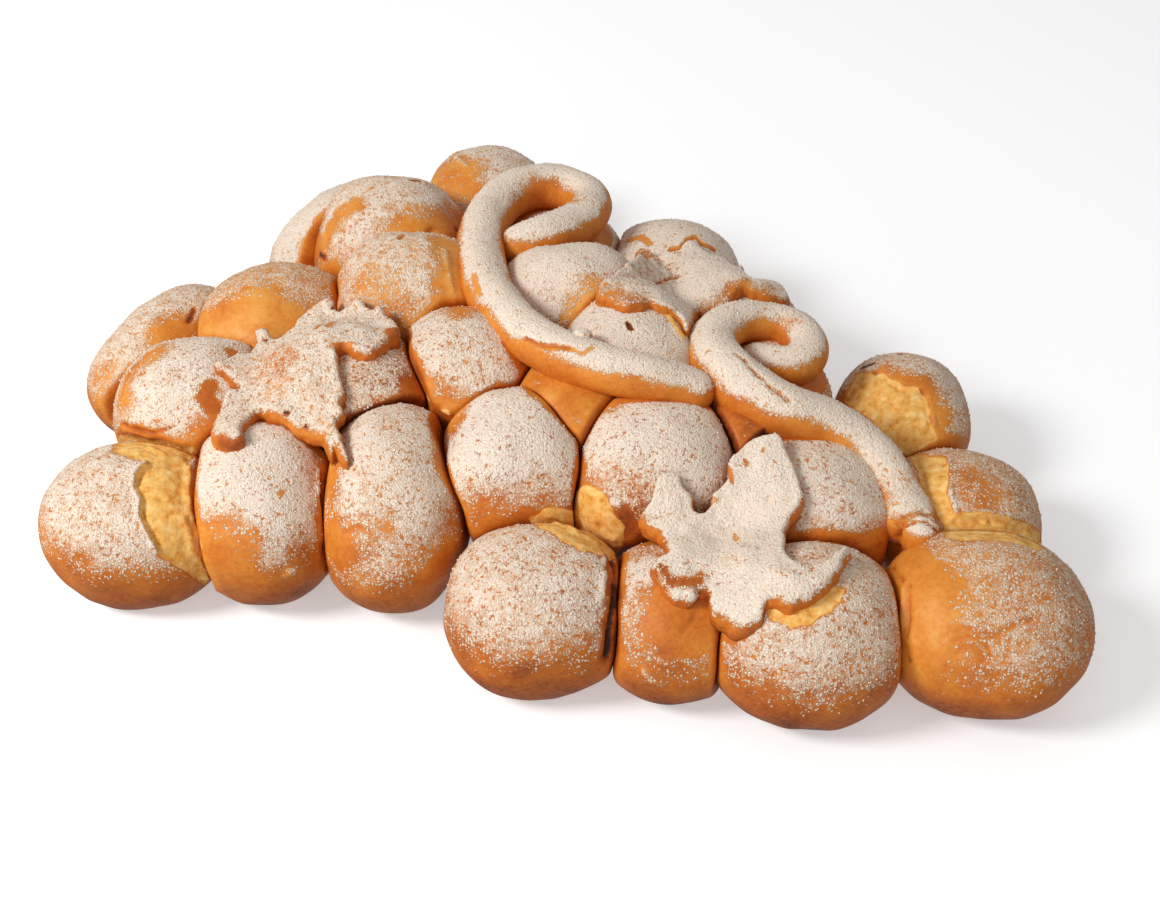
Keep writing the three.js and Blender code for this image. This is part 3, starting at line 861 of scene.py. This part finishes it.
def in_box(points, others, reach):
    """Which points lie in the box round the others, made larger by `reach` on every side."""
    low, high = np.min(others, axis=0) - reach, np.max(others, axis=0) + reach
    return np.all((points > low) & (points < high), axis=1)


def press_mark(shape, kind, near, outside):
    """Puts one mark on the points of a shape that are near it, `outside` mm beyond its border."""
    rise, flour, torn, bake_and_shade, fade = KINDS[kind]
    close = shape["points"][near]
    wander = 0.3 * fade * noise(close, 2.5 + fade, 6.0) + 0.25 * fade * noise(close, 1.5 + fade / 3, 2.0)
    weight = 1 - ramp(outside + wander, 0, fade)
    shape["lift"][near] += rise * weight * (1 + 0.35 * noise(close, 3, 1.0))
    shape["flour"][near] += flour * weight
    shape["torn"][near] = np.maximum(shape["torn"][near], torn * weight)
    shape["bake_and_shade"][near] += bake_and_shade * weight


def press_marks(shape, marks):
    """Puts the marks that run along lines on a shape."""
    points = shape["points"]
    for kind, width, path in marks:
        near = np.flatnonzero(in_box(points, path, width + 2 * KINDS[kind][4]))
        if len(near):
            press_mark(shape, kind, near, distance_to_path(points[near], path) - width / 2)


def press_areas(shape, areas):
    """Puts the marks that fill areas on a shape, on the side that the camera sees."""
    facing = np.einsum("ij,ij->i", CAMERA_AT - shape["points"], shape["normals"])
    seen = in_picture(shape["points"])
    for kind, outline in areas:
        edge = np.array(outline, float)
        near = np.flatnonzero((facing > 0) & in_box(seen, edge, 2 * KINDS[kind][4] / PIXEL))
        if len(near):
            away = PIXEL * depth_inside(seen[near], edge)
            inner = inside_outline(*seen[near].T, edge)
            press_mark(shape, kind, near, np.where(inner, -away, away))


def settle(shape):
    """Moves the crust by what the marks have raised and sunk."""
    shape["points"] = shape["points"] + shape["normals"] * shape.pop("lift")[:, None]


# ---------------------------------------------------------------- flour

OVERHANG = 1.5  # how far under an edge the flour still reaches
# How steep a slope may be for any flour to stay on it, and how much more level it is under the most.
ROLL_HOLD = (-0.16, 0.88)
VINE_HOLD = (0.36, 0.46)
LEAF_HOLD = (0.2, 0.5)
DOME_SHARE = 0.55  # how far a roll's flour follows its dome instead of its own skin
SEAM_BARE = 3.2  # how far from a seam the flour is thin
VINE_FLOUR = 1.35
VINE_BAKE = 0.42
LEAF_BAKE = 0.5


def inside_outline(x, y, outline):
    """Whether points of the table lie inside a closed outline."""
    inside = np.zeros(len(x), bool)
    for (ax, ay), (bx, by) in zip(outline, np.roll(outline, -1, axis=0)):
        crosses = (ay > y) != (by > y)
        inside ^= crosses & (x < ax + (y - ay) * (bx - ax) / (by - ay if by != ay else 1e-9))
    return inside


def sheltered(points):
    """1 where a leaf or a vine keeps the falling flour off a roll, 0 in the open."""
    shelter = np.zeros(len(points))
    for name in LEAVES:
        edge = leaf_outline(name)
        near = np.flatnonzero(in_box(points[:, :2], edge, 0))
        if len(near):
            x, y, z = points[near].T
            shelter[near] = inside_outline(x, y, edge) & (z < draped_height(x, y) + LEAF_THICK / 2)
    for name in VINES:
        centres, radii = vine_route(name)
        near = np.flatnonzero(in_box(points[:, :2], centres[:, :2], radii.max()))
        for centre, radius in zip(centres[::3], radii[::3]):
            away = np.linalg.norm(points[near, :2] - centre[:2], axis=1)
            under = (points[near, 2] < centre[2]) * (1 - ramp(away, radius - OVERHANG, radius + OVERHANG))
            shelter[near] = np.maximum(shelter[near], under)
    return shelter


def start_layers(shape, bake_and_shade):
    """Starts a shape's lift, flour and torn layers, and its baking layer, which also holds painted shade:
    faces turned down start darker.
    """
    points = shape["points"]
    shape["normals"] = normals_of(points, shape["faces"])
    shape["lift"] = np.zeros(len(points))
    shape["flour"] = np.zeros(len(points))
    shape["torn"] = np.zeros(len(points))
    # painted shade: faces turned down come out darker and faces turned up lighter
    shape["bake_and_shade"] = bake_and_shade + 0.1 * rough_noise(points, 22, 3, 5.0) - 0.12 * shape["normals"][:, 2]


def dust(shape, amount, reach, fade, up=None):
    """Lays flour on what faces up, from none on slopes as steep as `reach` to all of it `fade` above."""
    if up is None:
        up = shape["normals"][:, 2]
    patches = 0.13 * rough_noise(shape["points"], 17, 3, 2.0)
    shape["flour"] += amount * ramp(up + patches, reach, reach + fade)


def dome_slope(points, index):
    """How far a roll's own dome faces up at each point, whatever its seams do."""
    ball = (points - CENTRES[index]) @ TO_BALL[index].T
    normals = ball @ TO_BALL[index]
    return normals[:, 2] / np.linalg.norm(normals, axis=1)


GRAINS = 0.09  # loose lumps of flour on a square millimetre of floured crust
GRAIN_SIZE = (0.3, 0.7)
GRAIN_LAYERS = {"flour": 1.8, "torn": 0.0, "bake_and_shade": 0.3}
# The triangles of a grain: four corners round its middle, then its top and its foot.
OCTAHEDRON = np.array(
    [(0, 1, 4), (1, 2, 4), (2, 3, 4), (3, 0, 4), (1, 0, 5), (2, 1, 5), (3, 2, 5), (0, 3, 5)]
)


def add_grains(shape, rng):
    """Scatters small lumps over a shape's floured crust, as part of its mesh."""
    points, faces = shape["points"], shape["faces"]
    a, b, c = (points[faces[:, i]] for i in range(3))
    area = np.linalg.norm(np.cross(b - a, c - a), axis=1) / 2
    share = area * np.clip(shape["flour"][faces].mean(axis=1), 0, 1)
    count = round(GRAINS * share.sum())
    chosen = faces[rng.choice(len(faces), count, p=share / share.sum())]
    place = (points[chosen] * rng.dirichlet((1, 1, 1), count)[:, :, None]).sum(axis=1)
    turn = rng.uniform(0, math.pi, count)
    side = np.stack([np.cos(turn), np.sin(turn), rng.uniform(-0.5, 0.5, count)], axis=1)
    across = np.stack([-np.sin(turn), np.cos(turn), rng.uniform(-0.5, 0.5, count)], axis=1)
    over = np.cross(side, across)
    corners = np.stack([side, across, -side, -across, over, -over], axis=1)
    size = rng.uniform(*GRAIN_SIZE, (count, 1, 1)) * rng.uniform(0.7, 1.2, (count, 6, 1))
    lumps = (place[:, None, :] + corners * size).reshape(-1, 3)
    firsts = len(points) + 6 * np.arange(count)
    shape["faces"] = np.vstack([faces, (firsts[:, None, None] + OCTAHEDRON).reshape(-1, 3)])
    shape["points"] = np.vstack([points, lumps])
    for layer, value in GRAIN_LAYERS.items():
        shape[layer] = np.concatenate([shape[layer], np.full(len(lumps), value)])


# ---------------------------------------------------------------- materials


class Nodes:
    """A short way to write the nodes of a material or a world."""

    def __init__(self, owner, shader="Principled BSDF"):
        owner.use_nodes = True
        self.tree = owner.node_tree
        self.shader = self.tree.nodes[shader]

    def finish(self, **settings):
        """Sets or links the shader's own sockets, whose names have _ in place of spaces here."""
        for name, value in settings.items():
            self.put(self.shader.inputs[name.replace("_", " ")], value)

    def add(self, kind, inputs=(), **settings):
        node = self.tree.nodes.new(kind)
        for key, value in settings.items():
            setattr(node, key, value)
        for key, value in dict(inputs).items():
            self.put(node.inputs[key], value)
        return node

    def put(self, socket, value):
        if isinstance(value, bpy.types.NodeSocket):
            self.tree.links.new(value, socket)
        else:
            socket.default_value = value

    def layer(self, name):
        return self.add("ShaderNodeAttribute", attribute_name=name).outputs["Fac"]

    def texture(self, kind, size_mm, **inputs):
        """A texture with features of the given size, fixed to the piece."""
        place = self.add("ShaderNodeTexCoord").outputs["Object"]
        return self.add(kind, {"Vector": place, "Scale": 1 / (size_mm * MM), **inputs})

    def noise(self, size_mm, detail, roughness=0.5):
        return self.texture("ShaderNodeTexNoise", size_mm, Detail=detail, Roughness=roughness).outputs["Fac"]

    def cells(self, size_mm):
        """For each place, how far it is from the middle of its cell, and the cell's own random number."""
        cells = self.texture("ShaderNodeTexVoronoi", size_mm)
        colour = self.add("ShaderNodeSeparateColor", {"Color": cells.outputs["Color"]})
        return cells.outputs["Distance"], colour.outputs[0]

    def math(self, operation, a, b=0.0, clamp=False):
        return self.add("ShaderNodeMath", {0: a, 1: b}, operation=operation, use_clamp=clamp).outputs[0]

    def sum(self, *terms):
        """The sum of (socket, factor) terms and plain numbers."""
        total = 0.0
        for term in terms:
            if isinstance(term, tuple):
                inputs = {0: term[0], 1: term[1], 2: total}
                total = self.add("ShaderNodeMath", inputs, operation="MULTIPLY_ADD").outputs[0]
            else:
                total = self.math("ADD", total, term)
        return total

    def span(self, value, start, end):
        """0 before start and 1 after end."""
        inputs = {"Value": value, "From Min": start, "From Max": end}
        return self.add("ShaderNodeMapRange", inputs, interpolation_type="SMOOTHSTEP").outputs[0]

    def ramp(self, value, stops):
        node = self.add("ShaderNodeValToRGB", {"Fac": value})
        elements = node.color_ramp.elements
        while len(elements) < len(stops):
            elements.new(0.5)
        for element, (position, colour) in zip(elements, stops):
            element.position = position
            element.color = (*colour, 1)
        return node.outputs["Color"]

    def mix(self, factor, a, b):
        node = self.add("ShaderNodeMix", data_type="RGBA")
        for socket, value in zip((node.inputs[0], node.inputs[6], node.inputs[7]), (factor, a, b)):
            self.put(socket, (*value, 1) if isinstance(value, tuple) else value)
        return node.outputs[2]

    def bump(self, height, distance_mm, strength, below=None):
        inputs = {"Height": height, "Distance": distance_mm * MM, "Strength": strength}
        if below is not None:
            inputs["Normal"] = below
        return self.add("ShaderNodeBump", inputs).outputs["Normal"]


# Crust colours along the baking layer, from gold to near black; the dark end is reached mostly in the
# painted shade of seams, creases and low crust.
CRUST_AND_SHADE_STOPS = [
    (0.0, (0.84, 0.41, 0.090)),
    (0.26, (0.73, 0.255, 0.031)),
    (0.46, (0.60, 0.162, 0.016)),
    (0.68, (0.40, 0.088, 0.011)),
    (0.85, (0.18, 0.036, 0.007)),
    (1.0, (0.03, 0.010, 0.005)),
]
# Torn inside, from dark orange in the pits to cream on the ridges: crumb tone with painted shade in the
# pits.
TORN_AND_PIT_SHADE_STOPS = [
    (0.28, (0.58, 0.20, 0.025)),
    (0.42, (0.84, 0.40, 0.08)),
    (0.58, (0.93, 0.56, 0.17)),
    (0.76, (0.97, 0.73, 0.35)),
]
FLOUR_PALE = (0.92, 0.83, 0.72)
FLOUR_WARM = (0.82, 0.65, 0.47)


def bread_material(name):
    """Golden crust, torn inside and coarse flour, as the mesh's layers say; the baking layer brings painted
    shade and light, and the torn pits get painted shade.
    """
    material = bpy.data.materials.new(name)
    n = Nodes(material)
    flour = n.layer("flour")
    torn = n.layer("torn")
    bake_and_shade = n.layer("bake_and_shade")
    broad = n.noise(15, 3)
    fine = n.noise(2.4, 3, 0.6)
    freckles = n.span(n.noise(1.7, 2, 0.6), 0.56, 0.74)
    crust = n.ramp(n.sum((bake_and_shade, 1.0), (broad, 0.5), (fine, 0.38), (freckles, 0.12), -0.46), CRUST_AND_SHADE_STOPS)
    # the same noise raises the torn bump and lightens its colour, so the pits get painted shade
    pores_and_pit_shade = n.noise(4.2, 5, 0.62)
    inside = n.ramp(pores_and_pit_shade, TORN_AND_PIT_SHADE_STOPS)
    bared = n.span(torn, 0.25, 0.6)
    under = n.mix(bared, crust, inside)

    grain, grain_chance = n.cells(1.5)
    speck, speck_chance = n.cells(0.85)
    clump = n.noise(2.3, 3, 0.65)
    pinholes = n.span(clump, 0.52, 0.68)
    patches = n.math("MULTIPLY", n.sum((n.noise(6.5, 3, 0.6), 1.0), -0.5), n.span(flour, 0.0, 0.35))
    cover = n.sum((flour, 1.0), (patches, 1.1), (pinholes, -0.7), 0.03)
    laid = n.span(n.math("SUBTRACT", cover, grain_chance), 0.0, 0.1)
    lumps = n.math("MULTIPLY", laid, n.span(grain, 0.6, 0.38))
    laid = n.span(n.math("SUBTRACT", cover, speck_chance), 0.08, 0.2)
    powdery = n.math("MULTIPLY", laid, n.span(speck, 0.65, 0.4))
    film = n.math("MULTIPLY", n.span(cover, 0.3, 1.2), 0.82)
    mask = n.math("MAXIMUM", n.math("MAXIMUM", lumps, powdery), film, clamp=True)
    powder = n.mix(n.span(n.math("ADD", clump, film), 1.6, 0.7), FLOUR_PALE, FLOUR_WARM)

    matt = n.math("MAXIMUM", mask, bared)
    skin = n.bump(n.noise(3.6, 5, 0.62), 0.55, 0.55)
    skin = n.bump(n.math("MULTIPLY", pores_and_pit_shade, bared), 1.5, 0.5, skin)
    heap = n.sum((grain, -0.45), (speck, -0.35), (clump, -1.1), 1.6)
    n.finish(
        Base_Color=n.mix(mask, under, powder),
        Roughness=n.sum((matt, 0.4), (fine, 0.2), 0.4),
        Specular_IOR_Level=0.3,
        Normal=n.bump(n.math("MULTIPLY", mask, heap), 0.9, 0.8, skin),
    )
    return material


# ---------------------------------------------------------------- pieces


def make_object(name, points, faces, material):
    """A smooth-shaded mesh object from points in millimetres and triangles."""
    mesh = bpy.data.meshes.new(name)
    mesh.vertices.add(len(points))
    mesh.vertices.foreach_set("co", (points * MM).astype(np.float32).ravel())
    mesh.loops.add(3 * len(faces))
    mesh.loops.foreach_set("vertex_index", faces.astype(np.int32).ravel())
    mesh.polygons.add(len(faces))
    mesh.polygons.foreach_set("loop_start", np.arange(0, 3 * len(faces), 3, dtype=np.int32))
    mesh.polygons.foreach_set("use_smooth", np.ones(len(faces), bool))
    mesh.update(calc_edges=True)
    mesh.validate()
    mesh.materials.append(material)
    piece = bpy.data.objects.new(name, mesh)
    bpy.context.collection.objects.link(piece)
    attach(piece, "root")
    return piece


def add_layers(piece, shape):
    """Stores a shape's flour and torn layers and its baking layer, with the painted shade and light it
    holds, on its mesh.
    """
    for layer in GRAIN_LAYERS:
        attribute = piece.data.attributes.new(layer, "FLOAT", "POINT")
        attribute.data.foreach_set("value", shape[layer].astype(np.float32))


def build_rolls():
    directions, faces = ball_directions(6)
    shapes = []
    for index in range(len(ROLLS)):
        points = roll_shape(index, directions)
        shapes.append({"points": points, "faces": faces, "node": f"roll_{index + 1:02d}"})
    marks = placed_marks(ROLL_MARKS, Surface(shapes))
    for index, shape in enumerate(shapes):
        *_, flour, bake_and_shade = ROLLS[index]
        start_layers(shape, bake_and_shade)
        points = shape["points"]
        slope = (1 - DOME_SHARE) * shape["normals"][:, 2] + DOME_SHARE * dome_slope(points, index)
        dust(shape, flour, *ROLL_HOLD, slope)
        gap = distance_to_seams(points, index)
        shape["flour"] -= 1.2 * (1 - ramp(gap + 2.2 * noise(points, 13, 6.0), 0.0, SEAM_BARE))
        shape["bake_and_shade"] -= 0.1 * (1 - ramp(gap, 2, 8))
        # painted shade: the crust darkens within 1.6 mm of a seam, where shade falls between rolls
        shape["bake_and_shade"] += 0.2 * (1 - ramp(gap, 0.2, 1.6))
        # darker towards the table: partly browner crust baked on the tray, partly painted shade
        shape["bake_and_shade"] += 0.12 * (1 - ramp(points[:, 2], 2, 30))
        press_marks(shape, marks)
        press_areas(shape, [(kind, edge) for kind, rolls, edge in ROLL_AREAS if index + 1 in rolls])
        shape["flour"] -= 3 * sheltered(points)
        settle(shape)
        shape["points"] = keep_apart(shape["points"], index)
    return shapes


def build_vines():
    shapes = []
    for name in VINES:
        points, faces = vine_shape(name)
        centre, radius = KNOBS[name]
        ball, ball_faces = ball_directions(4)
        knob = np.array(centre) + ball * (radius * (1 + 0.06 * noise(ball * radius, 6)))[:, None]
        faces = np.concatenate([faces, ball_faces + len(points)])
        shapes.append({"points": np.concatenate([points, knob]), "faces": faces, "node": name})
    marks = placed_marks(VINE_MARKS, Surface(shapes))
    for shape in shapes:
        start_layers(shape, VINE_BAKE)
        dust(shape, VINE_FLOUR, *VINE_HOLD)
        press_marks(shape, marks)
        settle(shape)
    return shapes


def build_leaves():
    shapes = []
    for name in LEAVES:
        points, faces = leaf_shape(name)
        shapes.append({"points": points, "faces": faces, "node": name})
    marks = placed_marks(LEAF_MARKS, Surface(shapes))
    for shape in shapes:
        start_layers(shape, LEAF_BAKE)
        dust(shape, LEAVES[shape["node"]][0], *LEAF_HOLD)
        press_marks(shape, marks)
        settle(shape)
    return shapes


# ---------------------------------------------------------------- floor and light

FLOOR_GLOW = 0.35  # keeps the pale floor white round the bunch, and its shadow light
SKY = 0.43
BELOW = 0.4  # the sky's strength under the horizon
HORIZON = (-0.2, 0.3)  # the slopes of view between which it changes
# Each light: its place in metres, size and power.
LIGHTS = {
    "key": ((-1.05, -0.5, 1.1), 0.5, 16.5),
    "fill": ((-0.5, -1.5, 0.4), 1.2, 6),
}


def make_stage():
    """A plain pale floor."""
    bpy.ops.mesh.primitive_plane_add(size=12, location=(0, 0, -0.0003))
    floor = bpy.context.object
    floor.name = "floor"
    material = bpy.data.materials.new("floor")
    Nodes(material).finish(
        Base_Color=(0.85, 0.85, 0.85, 1),
        Roughness=0.9,
        Specular_IOR_Level=0.0,
        Emission_Color=(1, 1, 1, 1),
        Emission_Strength=FLOOR_GLOW,
    )
    floor.data.materials.append(material)
    floor.visible_diffuse = False
    floor.visible_glossy = False


def area_light(name, place, size, power):
    data = bpy.data.lights.new(name, "AREA")
    data.shape = "DISK"
    data.size = size
    data.energy = power
    light = bpy.data.objects.new(name, data)
    light.location = place
    light.rotation_mode = "QUATERNION"
    light.rotation_quaternion = Vector((0, 0, 0.03) - np.array(place)).to_track_quat("-Z", "Y")
    bpy.context.collection.objects.link(light)


def make_lights():
    """Soft light from the upper left, an even sky, and little light from below."""
    world = bpy.data.worlds.new("world")
    n = Nodes(world, "Background")
    axes = n.add("ShaderNodeSeparateXYZ", {0: n.add("ShaderNodeTexCoord").outputs["Generated"]})
    low, high = HORIZON
    inputs = {"Value": axes.outputs["Z"], "From Min": low, "From Max": high, "To Min": BELOW, "To Max": SKY}
    n.finish(Color=(1, 1, 1, 1), Strength=n.add("ShaderNodeMapRange", inputs).outputs[0])
    bpy.context.scene.world = world
    for name, light in LIGHTS.items():
        area_light(name, *light)
    bpy.context.scene.view_settings.view_transform = "Standard"


# ---------------------------------------------------------------- the scene

make_camera()
make_stage()
make_lights()
crust = bread_material("floured_crust")
grain_rng = np.random.default_rng(5)
for shape in build_rolls() + build_vines() + build_leaves():
    add_grains(shape, grain_rng)
    piece = make_object("baked_" + shape["node"], shape["points"], shape["faces"], crust)
    add_layers(piece, shape)
    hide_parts(shape["node"])
